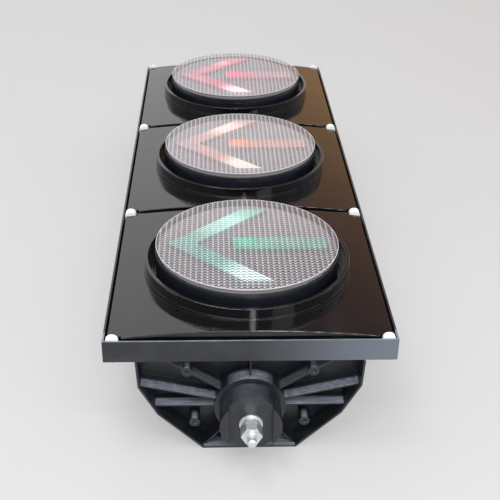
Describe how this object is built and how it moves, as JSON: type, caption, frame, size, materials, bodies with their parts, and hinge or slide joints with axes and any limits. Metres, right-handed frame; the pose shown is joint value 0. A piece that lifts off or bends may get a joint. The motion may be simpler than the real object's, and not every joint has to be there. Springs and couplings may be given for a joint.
{
  "type": "traffic signal head",
  "caption": "Column of round lamp sections with left arrows, hinged front doors and a swivelling cap at each end of its tie rod.",
  "frame": {"origin": "middle of the flat back, on the surface the head lies on", "axes": "+Z out of the lenses, +Y along the column towards the red section, +X right seen from the front"},
  "size_m": [0.42, 1.319, 0.253],
  "materials": {
    "black_polycarbonate": "moulded, semi-gloss",
    "black_polycarbonate_gloss": "moulded, high gloss",
    "epdm_rubber": "matt",
    "clear_polycarbonate": "clear, moulded lenslets",
    "frosted_acrylic": "frosted",
    "green_acrylic": "tinted, translucent",
    "amber_acrylic": "tinted, translucent",
    "red_acrylic": "tinted, translucent",
    "green_led_epoxy": "clear epoxy",
    "amber_led_epoxy": "clear epoxy",
    "red_led_epoxy": "clear epoxy",
    "white_circuit_board": "solder mask",
    "green_circuit_board": "solder mask",
    "black_nylon": "moulded, matt",
    "white_nylon": "moulded, satin",
    "stainless_steel": "bright",
    "zinc_plated_steel": "bright zinc",
    "grey_phenolic": "moulded, matt"
  },
  "bodies": {
    "head": {"amber_door_gasket": "epdm_rubber", "amber_housing": "black_polycarbonate", "block_screws": "stainless_steel", "boss_seals": "epdm_rubber", "catch_blocks": "white_nylon", "end_nuts": "zinc_plated_steel", "flat_washers": "zinc_plated_steel", "green_door_gasket": "epdm_rubber", "green_housing": "black_polycarbonate", "hinge_blocks": "white_nylon", "jam_nuts": "zinc_plated_steel", "joint_nuts": "zinc_plated_steel", "joint_screws": "zinc_plated_steel", "red_door_gasket": "epdm_rubber", "red_housing": "black_polycarbonate", "spring_washers": "zinc_plated_steel", "terminal_block": "grey_phenolic", "terminal_screws": "zinc_plated_steel", "tie_rod": "zinc_plated_steel"},
    "green_leaf": {"green_door": "black_polycarbonate_gloss", "green_module_bowl": "black_polycarbonate", "green_module_seal": "epdm_rubber", "green_lens": "clear_polycarbonate", "green_lens_seal": "epdm_rubber", "green_diffuser": "frosted_acrylic", "green_arrow_guide": "green_acrylic", "green_led_board": "white_circuit_board", "green_arrow_leds": "green_led_epoxy", "green_driver_board": "green_circuit_board", "green_lead_gland": "black_nylon", "green_module_clips": "stainless_steel", "green_clip_screws": "stainless_steel"},
    "amber_leaf": {"amber_door": "black_polycarbonate_gloss", "amber_module_bowl": "black_polycarbonate", "amber_module_seal": "epdm_rubber", "amber_lens": "clear_polycarbonate", "amber_lens_seal": "epdm_rubber", "amber_diffuser": "frosted_acrylic", "amber_arrow_guide": "amber_acrylic", "amber_led_board": "white_circuit_board", "amber_arrow_leds": "amber_led_epoxy", "amber_driver_board": "green_circuit_board", "amber_lead_gland": "black_nylon", "amber_module_clips": "stainless_steel", "amber_clip_screws": "stainless_steel"},
    "red_leaf": {"red_door": "black_polycarbonate_gloss", "red_module_bowl": "black_polycarbonate", "red_module_seal": "epdm_rubber", "red_lens": "clear_polycarbonate", "red_lens_seal": "epdm_rubber", "red_diffuser": "frosted_acrylic", "red_arrow_guide": "red_acrylic", "red_led_board": "white_circuit_board", "red_arrow_leds": "red_led_epoxy", "red_driver_board": "green_circuit_board", "red_lead_gland": "black_nylon", "red_module_clips": "stainless_steel", "red_clip_screws": "stainless_steel"},
    "lower_swivel": {"lower_cap": "black_polycarbonate"},
    "upper_swivel": {"upper_cap": "black_polycarbonate"}
  },
  "joints": [
    {"name": "green_door_hinge", "type": "hinge", "parent": "head", "child": "green_leaf", "pos_m": [-0.1963, -0.385, 0.19], "axis": [0, -1, 0], "range_deg": [0, 105]},
    {"name": "amber_door_hinge", "type": "hinge", "parent": "head", "child": "amber_leaf", "pos_m": [-0.1963, 0, 0.19], "axis": [0, -1, 0], "range_deg": [0, 105]},
    {"name": "red_door_hinge", "type": "hinge", "parent": "head", "child": "red_leaf", "pos_m": [-0.1963, 0.385, 0.19], "axis": [0, -1, 0], "range_deg": [0, 105]},
    {"name": "lower_cap_swivel", "type": "hinge", "parent": "head", "child": "lower_swivel", "pos_m": [0, -0.595, 0.0764], "axis": [0, -1, 0], "continuous": true},
    {"name": "upper_cap_swivel", "type": "hinge", "parent": "head", "child": "upper_swivel", "pos_m": [0, 0.595, 0.0764], "axis": [0, 1, 0], "continuous": true}
  ]
}
